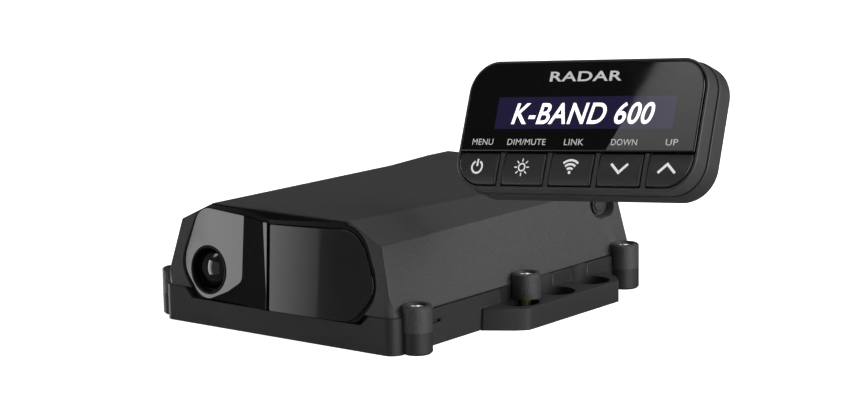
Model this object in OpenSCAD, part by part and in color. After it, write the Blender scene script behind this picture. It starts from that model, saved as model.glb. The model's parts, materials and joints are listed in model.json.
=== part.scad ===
// Two-unit radar detector: a sealed antenna module for the front of a vehicle
// and a small display with five keys for the dashboard.
// Origin: middle of the module's underside. The windows face -Y, up is +Z.

/* [Module housing] */
// Width of the module's base, without its tabs and lugs
base_w = 88.2; // [73:0.1:110]
// Length of the module's base
base_l = 120; // [105:0.5:150]
// Height of the rim where the base and the cover meet
seam_z = 10.6; // [9.6:0.1:13]
// Wall of the base and of the cover
wall = 2.4; // [2:0.1:2.9]
// Thickness of the base's floor
floor_t = 2.2; // [1.8:0.1:2.7]
// Radius of the upright corners
corner_r = 3.5; // [3:0.1:6]

/* [Cover] */
// Height of the roof at its front edge
roof_z = 36.3; // [35:0.1:44]
// Height of the crease between the side wall and the chamfer
crease_z = 30.5; // [28:0.1:33]
// How far each side wall leans in between rim and crease
side_lean = 5.3; // [2:0.1:7]
// Rise of the chamfer for each millimetre inward
chamfer_rise = 0.48; // [0.4:0.01:0.6]
// How far the front leans back between rim and roof
front_lean = 3; // [1:0.1:4]
// Fall of the roof between its front edge and the ramp
roof_fall = 1.7; // [0.5:0.1:2.5]
// Rise of the ramp
ramp_rise = 1.3; // [0.5:0.1:2.5]
// Length of the ramp
ramp_l = 16; // [10:0.5:24]
// Distance from the ramp's top to the back of the roof
plateau_l = 11; // [6:0.5:16]

/* [Lugs and tabs] */
// Outside diameter of a screw lug
lug_d = 8.8; // [8:0.1:10]
// Height of a screw lug's top
lug_z = 14; // [13:0.1:17]
// Distance of the end lugs' axes from the base's ends
lug_end = 8; // [6.5:0.1:12]
// Distance of a lug's axis outside the base wall
lug_out = 1.8; // [1.4:0.1:3]
// Thickness of a mounting tab
tab_t = 6.5; // [5.4:0.1:7.8]
// How far a tab stands out from the base wall
tab_out = 11.7; // [10.5:0.1:16]
// Diameter of the wells in a tab
well_d = 12; // [10:0.1:12.6]
// Distance between neighbouring wells
well_pitch = 18.2; // [15.1:0.1:20]
// Distance of a well's axis outside the base wall
well_out = 4; // [3.8:0.1:5]
// Diameter of the bolt hole through a well's floor
bolt_hole_d = 4.3; // [3.2:0.1:5.2]
// Thickness left under a well
well_floor = 2.5; // [2:0.1:3.2]

/* [Windows] */
// Distance of the window's ends from the cover's foot
bow_margin = 6.6; // [5.4:0.1:12]
// Height of the window's top corners
bow_top = 34; // [33:0.1:34.4]
// How far the front rim of the base dips under the window
dip = 2.9; // [2:0.1:3.4]
// Sideways place of the window's upright front edge
apex_x = -1; // [-4:0.5:4]
// How far that edge stands out ahead of the window's ends
apex_out = 2.7; // [1:0.1:4]
// Angle at which the window leans back
bow_lean = 5; // [3:0.5:7]
// Distance of the laser lens's axis from the window's left end
lens_in = 10.3; // [9.8:0.1:12.6]
// Height of the laser lens
lens_z = 16.6; // [16.2:0.1:20]
// Diameter of the lens opening in the panel
lens_bore = 14.5; // [12:0.1:14.6]
// Radius of the lens's shallow dome
dome_r = 8.2; // [8:0.1:14]
// How far the dome stands out of its barrel
dome_rise = 4.6; // [2:0.1:4.8]

/* [Fasteners] */
// Nominal diameter of the housing screws
screw_d = 3; // [2.5:0.1:3.2]
// Head diameter of the housing screws
head_d = 5.5; // [5:0.1:6]
// Head height of the housing screws
head_h = 2.1; // [1.6:0.1:2.4]
// Outside diameter of the threaded inserts
insert_d = 4.2; // [4:0.1:4.8]
// Length of the threaded inserts
insert_l = 4.6; // [4:0.1:4.8]

/* [Display] */
// Width of the display unit
disp_w = 80.6; // [76:0.1:97]
// Height of the display above the keys' top edge
disp_up = 27; // [25.5:0.1:33]
// Height of the display below the keys' top edge
disp_down = 11.2; // [10.4:0.1:13.4]
// Depth of the display, without its pad
disp_d = 12.4; // [12.2:0.1:15]
// Corner radius of the display
disp_r = 9.6; // [8:0.1:10.4]
// Depth of the front frame, up to its joint with the rear shell
bezel_d = 5.5; // [5.2:0.1:5.8]
// Wall of the display's shells
disp_wall = 1.8; // [1.5:0.1:2]
// Distance between neighbouring keys' axes
key_pitch = 16; // [15.2:0.1:16.2]
// Width of a key
key_w = 13.8; // [12:0.1:13.8]
// Travel of a key
key_travel = 0.4; // [0.2:0.05:0.45]
// Angle at which the display leans back
disp_tilt = 24; // [10:1:30]
// Angle by which the display's right end is raised
disp_roll = 4.8; // [0:0.1:8]

/* [Hidden] */
$fn = 64;
eps = 0.02;
gap = 0.3;             // between pieces that move past each other
fit = 0.1;             // round pieces that drop into place

// Module
half_w = base_w / 2;
half_l = base_l / 2;
front_wall = wall + 2.6;          // the base's front wall, rim and sill together
rebate = 1.2;                     // width of the gasket's step in the rim
gasket_h = 1;
cover_inset = 0.7;                // the cover's rim inside the base's outline
cover_half = half_w - cover_inset;
lug_x = half_w + lug_out;
lug_pitch = half_l - lug_end;
lug_split = tab_t;                // the cover's lugs stand on the base's at this height
well_x = half_w + well_out;
well_y0 = -6.5;                   // axis of the first well
well_y2 = well_y0 + 2 * well_pitch;
ramp_y = 31 * base_l / 120;       // foot of the ramp
ramp_top_y = ramp_y + ramp_l;
roof_back_y = min(ramp_top_y + plateau_l, half_l - 2);
bow_half = cover_half - bow_margin;
bow_scale = bow_half / 36.8;      // the windows' creases move out with their width
lens_x = -bow_half + lens_in;
dip_z = seam_z - dip;
bow_bottom = dip_z + 0.3;
bow_apex_z = bow_top - 1;         // the window's top edge dips at the upright edge
bow_end_y = -half_l + 0.8;        // the window's ends, at its foot
bow_back_y = -half_l + 2.2;       // the windows' flat back, at its foot
frame_rim = 1.2;                  // the window frame's width round the window
pocket_y = [half_l - 17, half_l - 4.5];  // ends of the vent's pocket in the side wall
pocket_z = 26;
pocket_r = 4;
gland_z = 19.5;
gland_x = -18;
gland_r = 7;
inlet_r = 2.5;
screw_floor = 1.6;                // left under a lug's insert pocket

// Boards in the module
standoff = 4;
board_t = 1.6;
board_half_w = half_w + well_out - well_d / 2 - wall - 0.8;
board_front_y = -half_l + 46;     // behind the horn
board_back_y = half_l - 8;
board_z = floor_t + standoff;
post_r = 3;
post_x = board_half_w - 4;
post_y = [board_front_y + 4, board_back_y - 4];
board_screw_r = 1.25;
horn_x = 16;
horn_w = 30;
horn_h = 18;
horn_z = seam_z - 1.8;
horn_front_y = -half_l + 8;
horn_l = 30;
barrel_l = 17;
barrel_wall = 1.4;
barrel_front_y = -half_l + 5.8;   // front of the lens barrel, behind the panel

// Display, in its own frame: front plane y = 0, keys' top edge z = 0
disp_at = [half_w + 42.4, -33.5, 58.2];
disp_rim = 0.9;                   // the frame outside the window and the keys
front_half = disp_w / 2 - 0.5;    // the front frame is a little smaller
win_t = 1.4;
ledge_t = 1.2;
key_top = -gap;
key_bottom = -disp_down + disp_rim + 0.4;
key_front = 0.2;
key_depth = 3.8;
key_back = key_front + key_depth;
flange = 0.55;
flange_t = 1;
mat_y = key_back + key_travel + gap;
mat_t = 0.6;
dboard_y = bezel_d + 0.7;
dboard_t = 1.6;
oled_half = [31.4, 8];
oled_at = [0.7, 11];
lit_half = [29.6, 4.7];
lit_at = [1.3, 11.1];
boss_r = 2.1;
boss_x = front_half - 4.6;
boss_z = [3.4, disp_up - 8.4];
socket_z = 12;
pad_half = [28, 10];
pad_t = 1;

// Points of a polygon whose corners are rounded, each with its own radius
function unit(v) = v / norm(v);
function corner(a, b, c, r, n = 8) =
    let (u = unit(a - b), w = unit(c - b),
         half = acos(max(-1, min(1, u * w))) / 2,
         m = b + unit(u + w) * (r / sin(half)),
         s = b + u * (r / tan(half)) - m,
         e = b + w * (r / tan(half)) - m,
         sweep = 180 - 2 * half,
         turn = sign(s[0] * e[1] - s[1] * e[0]))
    [for (i = [0:n]) let (t = turn * sweep * i / n)
        m + [s[0] * cos(t) - s[1] * sin(t), s[0] * sin(t) + s[1] * cos(t)]];
function rounded(p, r) = let (k = len(p))
    [for (i = [0:k - 1]) each (r[i] == 0 ? [p[i]]
        : corner(p[(i + k - 1) % k], p[i], p[(i + 1) % k], r[i]))];

// A flat plate with round corners, centred
module plate(w, l, r) {
    square([w - 2 * r, l], center = true);
    square([w, l - 2 * r], center = true);
    for (x = [-1, 1], y = [-1, 1])
        translate([x * (w / 2 - r), y * (l / 2 - r)]) circle(r);
}
module both_sides() {
    children();
    mirror([1, 0, 0]) children();
}
module at_lugs(rows = [-1, 0, 1])
    for (s = [-1, 1], k = rows) translate([s * lug_x, k * lug_pitch, 0]) children();
module at_wells(first = 0)
    for (s = [-1, 1], k = [first:2]) translate([s * well_x, well_y0 + k * well_pitch, 0]) children();
// Extrudes an outline drawn in X and Z along Y, from y0 to y1
module along_y(y0, y1)
    translate([0, y1, 0]) rotate([90, 0, 0]) linear_extrude(y1 - y0) children();
// Extrudes an outline drawn in Y and Z along X, from x0 to x1
module along_x(x0, x1)
    translate([x0, 0, 0]) rotate([90, 0, 90]) linear_extrude(x1 - x0) children();

// ---------------------------------------------------------------- module shells

// The inside of the housing in plan, grown outwards by g
module inside_plan(g = 0) {
    difference() {
        translate([0, (front_wall - wall) / 2])
            plate(base_w - 2 * wall + 2 * g, base_l - wall - front_wall + 2 * g, 1.2 + g);
        at_wells() circle(well_d / 2 + wall - g);
        at_lugs() circle(lug_d / 2 + 2 - g);
    }
}
// The dip in the base's front rim, in X and Z, lowered by g
module dip_outline(g = 0)
    polygon([[-bow_half + 1.6, seam_z + 1], [-bow_half + 1.6, seam_z - g],
        [-bow_half + 4.2, dip_z - g], [bow_half - 5, dip_z - g],
        [bow_half - 1.8, seam_z - g], [bow_half - 1.8, seam_z + 1]]);

// One tab in plan, from ahead of its first well to behind its last
module tab_outline() {
    far = half_w + tab_out;
    polygon(rounded([[half_w - 3, well_y0 - 14.1], [half_w + 0.8, well_y0 - 13.4],
        [far - 2.6, well_y0 - 8.1], [far, well_y0 - 5.5], [far, well_y2 + 4.3],
        [far - 4.6, well_y2 + 9.1], [half_w - 0.4, well_y2 + 13.7], [half_w - 3, well_y2 + 14.7]],
        [0, 0, 0, 0, 2.4, 1, 0, 0]));
}

module lug_foot() {
    translate([0, 0, 0.6]) cylinder(d = lug_d, h = lug_split - 0.6);
    cylinder(d1 = lug_d - 1.2, d2 = lug_d, h = 0.6);
}

module base_shell() color([0.17, 0.17, 0.175]) difference() {
    union() {
        difference() {
            linear_extrude(seam_z) plate(base_w, base_l, corner_r);
            translate([0, 0, floor_t]) linear_extrude(seam_z) inside_plan();
        }
        both_sides() linear_extrude(tab_t) tab_outline();
        at_lugs([-1, 1]) lug_foot();
        for (x = [-1, 1] * post_x, y = post_y)
            translate([x, y, floor_t - eps]) cylinder(r = post_r, h = standoff + eps);
    }
    // step that the gasket lies in
    translate([0, 0, seam_z - gasket_h]) linear_extrude(2) inside_plan(rebate);
    // dip of the front rim under the window
    along_y(-half_l - 1, bow_back_y + 0.4) dip_outline();
    // room for the cover's lugs, which stand on the base's
    at_lugs() translate([0, 0, lug_split]) cylinder(d = lug_d + 2 * fit, h = 10);
    at_lugs() translate([0, 0, screw_floor]) cylinder(d = insert_d, h = lug_split);
    // wells, which also scallop the wall up to the rim
    at_wells() translate([0, 0, well_floor]) cylinder(d = well_d, h = seam_z);
    // the first well lies partly under a lug, so only the others take a bolt
    at_wells(1) translate([0, 0, -1]) cylinder(d = bolt_hole_d, h = well_floor + 2);
    // screw holes in the board's posts
    for (x = [-1, 1] * post_x, y = post_y)
        translate([x, y, floor_t]) cylinder(r = board_screw_r, h = standoff + 1);
    // small slot behind each front lug
    for (s = [-1, 1])
        translate([s * half_w, -lug_pitch + 11.2, lug_split + 0.3]) cube([2, 3.6, 0.9], center = true);
}

// The cover's cross-section in X and Z, with its walls moved in by t
module cover_section(t = 0) {
    lean = side_lean / (crease_z - seam_z);
    side_in = t * sqrt(1 + lean * lean);
    chamfer_in = t * sqrt(1 + chamfer_rise * chamfer_rise);
    zc = (crease_z - chamfer_in + chamfer_rise * (side_in - side_lean - lean * seam_z))
        / (1 - chamfer_rise * lean);
    xc = cover_half - side_in - lean * (zc - seam_z);
    top = roof_z + 3;
    xt = cover_half - side_lean - (top - crease_z + chamfer_in) / chamfer_rise;
    foot = t == 0 ? seam_z : seam_z - 1;
    xf = cover_half - side_in - lean * (foot - seam_z);
    polygon([[-xf, foot], [xf, foot], [xc, zc], [xt, top], [-xt, top], [-xc, zc]]);
}
// The cover's side view in Y and Z, moved in by t
module cover_side(t = 0) {
    yf = -half_l + 0.4 + t;
    yb = half_l - 1.4 - t;
    foot = t == 0 ? seam_z : seam_z - 1;
    low = roof_z - roof_fall;
    polygon([[yf, foot], [yf + front_lean, roof_z - t], [ramp_y, low - t],
        [ramp_top_y, low + ramp_rise - t], [roof_back_y - t, low + ramp_rise - 0.2 - t],
        [roof_back_y - t, low + ramp_rise - 4 - t], [yb, foot]]);
}
module cover_body(t = 0) {
    intersection() {
        along_y(-half_l - 1, half_l + 1) cover_section(t);
        along_x(-half_w - 1, half_w + 1) cover_side(t);
        linear_extrude(60) plate(base_w - 2 * cover_inset - 2 * t, base_l - 0.8 - 2 * t,
            max(corner_r - t, 0.8));
    }
}
module cover_lug() {
    translate([0, 0, lug_split]) cylinder(d = lug_d, h = lug_z - lug_split - 0.4);
    translate([0, 0, lug_z - 0.4]) cylinder(d1 = lug_d, d2 = lug_d - 0.8, h = 0.4);
}
// The front window's outline in X and Z
module bow_outline() {
    b = bow_half;
    polygon(rounded([[-b + 7.8, bow_bottom], [b - 7.8, bow_bottom], [b, 17.2], [b - 6.8, bow_top + 0.2],
        [apex_x, bow_apex_z], [-b + 6.2, bow_top - 0.1], [-b, 17.2]], [8, 8, 8, 9, 0, 5.5, 8]));
}
// The frame's outline: the window's, grown, with a straight brow over it
module frame_outline(g = 0) {
    offset(r = frame_rim + g) bow_outline();
    left = -bow_half + 9.8;
    right = bow_half - 11.8;
    polygon([[left, bow_top - 4], [right, bow_top - 4], [right, roof_z - 0.5 + g],
        [left, roof_z - 0.5 + g]]);
}

module side_pocket(g = 0) {
    for (y = [pocket_y[0] + pocket_r, pocket_y[1] - pocket_r])
        translate([cover_half - 6.4 + g, y, pocket_z])
            rotate([0, 90, 0]) cylinder(r = pocket_r - g, h = 12);
    translate([cover_half - 6.4 + g, pocket_y[0] + pocket_r, pocket_z - pocket_r + g])
        cube([12, pocket_y[1] - pocket_y[0] - 2 * pocket_r, 2 * (pocket_r - g)]);
}

module top_cover() color([0.24, 0.24, 0.245]) difference() {
    union() {
        difference() {
            cover_body();
            cover_body(wall);
        }
        at_lugs() cover_lug();
        // webs from the cover's wall to its lugs
        for (s = [-1, 1], k = [-1, 0, 1])
            translate([s * (lug_x - 2.6), k * lug_pitch, (seam_z + lug_z) / 2 - 0.2])
                cube([5.2, lug_d - 2, lug_z - seam_z - 0.4], center = true);
        // wall behind the vent's pocket
        intersection() {
            cover_body();
            translate([cover_half - 7.8, pocket_y[0] - 1.4, pocket_z - pocket_r - 1.4])
                cube([8, pocket_y[1] - pocket_y[0] + 2.8, 2 * pocket_r + 2.8]);
        }
        // collar behind the cable gland
        intersection() {
            cover_body();
            translate([gland_x, half_l, gland_z]) rotate([90, 0, 0]) cylinder(r = gland_r + 1, h = 7);
        }
    }
    at_lugs() translate([0, 0, lug_z - head_h - 0.5]) cylinder(d = head_d + 0.5, h = 5);
    at_lugs() cylinder(d = screw_d + 0.4, h = lug_z);
    along_y(-half_l - 2, -half_l + 12) frame_outline(fit);
    side_pocket();
    translate([gland_x, half_l + 2, gland_z]) rotate([90, 0, 0]) cylinder(r = gland_r - 2 + fit, h = 16);
}

module cover_gasket() color([0.09, 0.09, 0.09])
    translate([0, 0, seam_z - gasket_h]) linear_extrude(gasket_h) difference() {
        inside_plan(rebate);
        inside_plan(0);
    }

// ---------------------------------------------------------------- front windows

// Leans a drawing back about the windows' foot
module leaned() translate([0, -half_l, bow_bottom]) rotate([-bow_lean, 0, 0])
    translate([0, half_l, 0]) children();
// The windows' block: a bowed plan, leaned back, from front line to flat back
module bow_block(x0, x1, set_back = 0, back = 0) {
    e = bow_end_y + set_back;
    a = e - apex_out;
    far = 40 * bow_scale;
    leaned() translate([0, 0, -4])
        intersection() {
            linear_extrude(40) polygon([[-far, e], [-13 * bow_scale, e - 0.8], [apex_x - 1, a],
                [apex_x + 1, a], [17 * bow_scale, a + 1], [far, e + 0.1],
                [far, bow_back_y + back], [-far, bow_back_y + back]]);
            translate([x0, -half_l - 10, 0]) cube([x1 - x0, 30, 40]);
        }
}
module laser_panel() color([0.03, 0.03, 0.032]) difference() {
    intersection() {
        bow_block(-60, apex_x - 0.3);
        along_y(-half_l - 10, -half_l + 12) bow_outline();
    }
    translate([lens_x, -half_l + 12, lens_z]) rotate([90, 0, 0]) cylinder(d = lens_bore, h = 30);
}
module radar_window() color([0.05, 0.05, 0.055]) intersection() {
    bow_block(apex_x + 0.3, 60);
    along_y(-half_l - 10, -half_l + 12) bow_outline();
}
module window_frame() color([0.06, 0.06, 0.062]) {
    difference() {
        intersection() {
            bow_block(-60, 60, 0.5, 2);
            along_y(-half_l - 10, -half_l + 12) intersection() {
                frame_outline();
                union() {
                    dip_outline(-fit);
                    translate([-60, seam_z + fit]) square([120, 40]);
                }
            }
            along_x(-60, 60) polygon([[-half_l - 6, dip_z], [-half_l - 6, bow_top - 6],
                [-half_l + 3.2, roof_z + 0.2], [-half_l + 9, roof_z + 0.2], [-half_l + 9, dip_z]]);
        }
        along_y(-half_l - 10, -half_l + 12) offset(delta = fit / 2) bow_outline();
        translate([-60, bow_back_y + gap, dip_z - 1]) cube([120, 20, seam_z - dip_z + 1.2]);
    }
    // spine between the two windows
    intersection() {
        bow_block(apex_x - 0.25, apex_x + 0.25, 1, 0);
        translate([-60, -half_l - 10, bow_bottom]) cube([120, 30, bow_apex_z - bow_bottom + 0.1]);
    }
}
// Flat seal behind the frame
module window_seal() color([0.07, 0.07, 0.07]) intersection() {
    difference() {
        leaned() translate([-60, bow_back_y + 2, 3.4]) cube([120, 0.8, 40]);
        // a closed ring at least 1.5 wide inside the cover, whatever the wall
        along_y(-half_l - 10, -half_l + 20) offset(delta = -1.5) intersection() {
            bow_outline();
            union() {
                cover_section(wall + 0.1);
                translate([-60, -1]) square([120, seam_z + 1]);
            }
            translate([-60, -1]) square([120, roof_z - wall + 0.9]);
        }
    }
    along_y(-half_l - 10, -half_l + 20) frame_outline();
    cover_body(wall);
}

// ---------------------------------------------------------------- laser receiver

module on_lens_axis(y) translate([lens_x, y, lens_z]) rotate([-90, 0, 0]) children();

// Its face follows the panel and stands a little proud of it
module lens_ring() color([0.05, 0.05, 0.05]) intersection() {
    on_lens_axis(-half_l - 4) difference() {
        cylinder(d = lens_bore - 2 * fit, h = 8);
        translate([0, 0, -1]) cylinder(d = lens_bore - 1.6, h = 10);
    }
    bow_block(-60, 60, -0.25);
}
module lens_barrel() color([0.1, 0.1, 0.1]) on_lens_axis(barrel_front_y) difference() {
    cylinder(d = lens_bore - 1.9 + 2 * barrel_wall, h = barrel_l);
    translate([0, 0, -1]) cylinder(d = lens_bore - 1.9, h = 4);
    translate([0, 0, 2.9]) cylinder(d = lens_bore - 4.4, h = barrel_l);
}
module laser_lens() color([0.04, 0.03, 0.05]) on_lens_axis(barrel_front_y) {
    cylinder(d = lens_bore - 2.1, h = 2.8);
    intersection() {
        translate([0, 0, dome_r - dome_rise]) sphere(r = dome_r, $fn = 96);
        translate([0, 0, -dome_rise - 1]) cylinder(d = lens_bore - 2.9, h = dome_rise + 1.1);
    }
}
module laser_board() color([0.05, 0.25, 0.12])
    on_lens_axis(barrel_front_y + barrel_l) translate([0, 0, 0.8]) difference() {
        cube([17, 17, 1.6], center = true);
        for (x = [-6, 6]) translate([x, 6.6, -2]) cylinder(r = 1, h = 4);
    }
module photodiode() color([0.7, 0.65, 0.4]) on_lens_axis(barrel_front_y + barrel_l) {
    translate([0, 0, -3.4]) cylinder(d = 5, h = 2.9);
    translate([0, 0, -0.5]) cylinder(d = 5.8, h = 0.5);
}

// ---------------------------------------------------------------- microwave receiver

module horn_antenna() color([0.62, 0.63, 0.65]) difference() {
    union() {
        translate([horn_x - horn_w / 2, horn_front_y, horn_z]) cube([horn_w, horn_l * 0.55, horn_h]);
        translate([horn_x - horn_w / 4, horn_front_y, horn_z]) cube([horn_w / 2, horn_l, horn_h]);
    }
    // flare, narrowing in both directions to the waveguide
    intersection() {
        translate([0, 0, horn_z]) linear_extrude(horn_h) polygon([
            [horn_x - horn_w / 2 + 1.2, horn_front_y - eps], [horn_x + horn_w / 2 - 1.2, horn_front_y - eps],
            [horn_x + 4.3, horn_front_y + horn_l * 0.6], [horn_x - 4.3, horn_front_y + horn_l * 0.6]]);
        along_x(horn_x - horn_w, horn_x + horn_w) polygon([
            [horn_front_y - eps, horn_z + 1.2], [horn_front_y - eps, horn_z + horn_h - 1.2],
            [horn_front_y + horn_l * 0.6, horn_z + horn_h / 2 + 2.2],
            [horn_front_y + horn_l * 0.6, horn_z + horn_h / 2 - 2.2]]);
    }
    translate([horn_x - 4.3, horn_front_y + horn_l * 0.6 - 1, horn_z + horn_h / 2 - 2.2])
        cube([8.6, horn_l * 0.4 - 2, 4.4]);
}
module microwave_board() color([0.05, 0.2, 0.1])
    translate([horn_x - horn_w / 2 + 1, horn_front_y + 2, horn_z + horn_h]) difference() {
        cube([horn_w - 2, horn_l * 0.55 - 3, 1]);
        for (x = [2.4, horn_w - 4.4]) translate([x, 2.4, -1]) cylinder(r = 1, h = 3);
    }
module shield_can() color([0.72, 0.72, 0.7])
    translate([horn_x - horn_w / 2 + 6, horn_front_y + 3, horn_z + horn_h + 1]) difference() {
        cube([horn_w - 12, horn_l * 0.55 - 5, 2.2]);
        translate([0.3, 0.3, -0.3]) cube([horn_w - 12.6, horn_l * 0.55 - 5.6, 2.2]);
    }

// ---------------------------------------------------------------- main board

module main_board() color([0.06, 0.22, 0.12]) difference() {
    translate([-board_half_w, board_front_y, board_z])
        cube([2 * board_half_w, board_back_y - board_front_y, board_t]);
    for (x = [-1, 1] * post_x, y = post_y)
        translate([x, y, board_z - 1]) cylinder(r = board_screw_r + 0.25, h = board_t + 2);
}
module board_chips() color([0.08, 0.08, 0.09]) translate([0, 0, board_z + board_t]) {
    translate([-22, 6, 0]) cube([14, 14, 1.4]);
    translate([4, 4, 0]) cube([9, 9, 1.2]);
    translate([-20, 27, 0]) cube([10, 6, 1.6]);
    translate([10, 24, 0]) cube([6, 5, 1.6]);
}
module board_capacitors() color([0.75, 0.76, 0.78])
    for (k = [0:2]) translate([24, 4 + 9 * k, board_z + board_t]) {
        cylinder(d = 6.3, h = 5.4);
        translate([-3.3, -3.3, 0]) cube([6.6, 6.6, 0.8]);
    }
module board_header() color([0.85, 0.84, 0.78])
    translate([gland_x - 7, board_back_y - 14, board_z + board_t]) difference() {
        cube([14, 6, 6]);
        translate([1, 1, 1.2]) cube([12, 4, 6]);
    }
module board_screws() color([0.75, 0.75, 0.76])
    for (x = [-1, 1] * post_x, y = post_y) translate([x, y, board_z + board_t]) {
        cylinder(r = 2.3, h = 1.5);
        translate([0, 0, -board_t - 2.6]) cylinder(r = board_screw_r - 0.05, h = board_t + 2.7);
    }

// ---------------------------------------------------------------- fasteners, gland, vent

module housing_screws() color([0.85, 0.85, 0.86])
    at_lugs() translate([0, 0, lug_z - head_h - 0.5]) difference() {
        union() {
            cylinder(d = head_d, h = head_h);
            translate([0, 0, -lug_z + head_h + 0.5 + 2.6])
                cylinder(d = screw_d - 0.1, h = lug_z - head_h - 3);
        }
        for (a = [0, 90]) rotate(a) translate([-1.5, -0.35, head_h - 1.2]) cube([3, 0.7, 2]);
    }
module threaded_inserts() color([0.78, 0.62, 0.3])
    at_lugs() translate([0, 0, lug_split - insert_l]) difference() {
        cylinder(d = insert_d, h = insert_l);
        translate([0, 0, -1]) cylinder(d = screw_d, h = insert_l + 2);
    }
module cable_gland() color([0.1, 0.1, 0.1])
    translate([gland_x, half_l - 1.4, gland_z]) rotate([-90, 0, 0]) difference() {
        union() {
            cylinder(r = gland_r, h = 2.6);
            translate([0, 0, 2.6]) cylinder(r1 = gland_r - 0.6, r2 = gland_r - 2.6, h = 3);
            translate([0, 0, -10]) cylinder(r = gland_r - 2, h = 10);
        }
        translate([0, 0, -11]) cylinder(r = inlet_r, h = 20);
    }
module gland_nut() color([0.12, 0.12, 0.12])
    translate([gland_x, half_l - 9.2, gland_z]) rotate([90, 0, 0]) difference() {
        cylinder(r = gland_r + 0.6, h = 2, $fn = 6);
        translate([0, 0, -1]) cylinder(r = gland_r - 2 + eps, h = 4);
    }
module breather_vent() color([0.15, 0.15, 0.16])
    translate([cover_half - 6.4, (pocket_y[0] + pocket_y[1]) / 2, pocket_z]) rotate([0, 90, 0]) {
        cylinder(r = 3, h = 1.1);
        translate([0, 0, 1.1]) cylinder(r1 = 3, r2 = 2.4, h = 0.5);
    }

// ---------------------------------------------------------------- display unit

module in_display() translate(disp_at) rotate([-disp_tilt, -disp_roll, 0]) children();
// Extrudes an outline drawn in the display's x and z from depth y0 to y1
module deep(y0, y1) along_y(y0, y1) children();

// The display's outline, moved in by t
module disp_outline(t = 0)
    translate([0, (disp_up - disp_down) / 2])
        plate(disp_w - 2 * t, disp_up + disp_down - 2 * t, disp_r - t);
module window_outline(g = 0) intersection() {
    disp_outline(0.5 + disp_rim - g);
    translate([-60, 0.05 - g]) square([120, 60]);
}
// One key's outline, k from -2 to 2, grown by g
module key_outline(k, g = 0) intersection() {
    disp_outline(0.5 + disp_rim + gap - g);
    x0 = k == -2 ? -60 : k * key_pitch - key_w / 2 - g;
    x1 = k == 2 ? 60 : k * key_pitch + key_w / 2 + g;
    translate([x0, key_bottom - g - 5]) square([x1 - x0, key_top - key_bottom + 2 * g + 5]);
}
module key_body(k) in_display() {
    deep(key_front, key_back) key_outline(k);
    deep(key_back - flange_t, key_back) intersection() {
        key_outline(k, flange);
        disp_outline(0.5 + disp_wall + gap);
    }
}
module at_bosses() for (x = [-1, 1] * boss_x, z = boss_z) translate([x, 0, z]) children();
module post_y(r, y0, y1) translate([0, y0, 0]) rotate([-90, 0, 0]) cylinder(r = r, h = y1 - y0);

module display_frame() color([0.2, 0.2, 0.205]) in_display() difference() {
    union() {
        difference() {
            deep(0.5, bezel_d) disp_outline(0.5);
            // inside, behind the ledge and the keys' ribs
            deep(win_t + ledge_t, bezel_d + 1) disp_outline(0.5 + disp_wall);
        }
        at_bosses() post_y(boss_r, win_t + ledge_t - eps, dboard_y);
    }
    deep(-1, win_t) window_outline(fit);
    // opening in the ledge for the lit panel
    translate([lit_at[0] - lit_half[0] - 1, -1, lit_at[1] - lit_half[1] - 1])
        cube([2 * lit_half[0] + 2, 6, 2 * lit_half[1] + 2]);
    for (k = [-2:2]) deep(-1, bezel_d + 1) intersection() {
        key_outline(k, gap);
        disp_outline(0.5 + disp_rim);
    }
    at_bosses() post_y(0.95, win_t + ledge_t + 0.4, dboard_y + 1);
}
module display_window() color([0.02, 0.02, 0.022]) in_display() deep(0, win_t) window_outline();
module oled_panel() color([0.1, 0.08, 0.22]) in_display()
    translate([oled_at[0] - oled_half[0], win_t + ledge_t, oled_at[1] - oled_half[1]])
        cube([2 * oled_half[0], 1.5, 2 * oled_half[1]]);
module oled_flex() color([0.55, 0.35, 0.12]) in_display()
    translate([oled_at[0] - 7, win_t + ledge_t + 1.5, oled_at[1] + oled_half[1] - 4])
        cube([14, dboard_y - win_t - ledge_t - 1.5, 0.3]);
module display_board() color([0.06, 0.2, 0.11]) in_display() difference() {
    deep(dboard_y, dboard_y + dboard_t) disp_outline(0.5 + disp_wall + 0.4);
    at_bosses() post_y(1.2, 0, 20);
}
module power_key() color([0.18, 0.18, 0.185]) key_body(-2);
module dimmer_key() color([0.18, 0.18, 0.185]) key_body(-1);
module wireless_key() color([0.18, 0.18, 0.185]) key_body(0);
module down_key() color([0.18, 0.18, 0.185]) key_body(1);
module up_key() color([0.18, 0.18, 0.185]) key_body(2);

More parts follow.
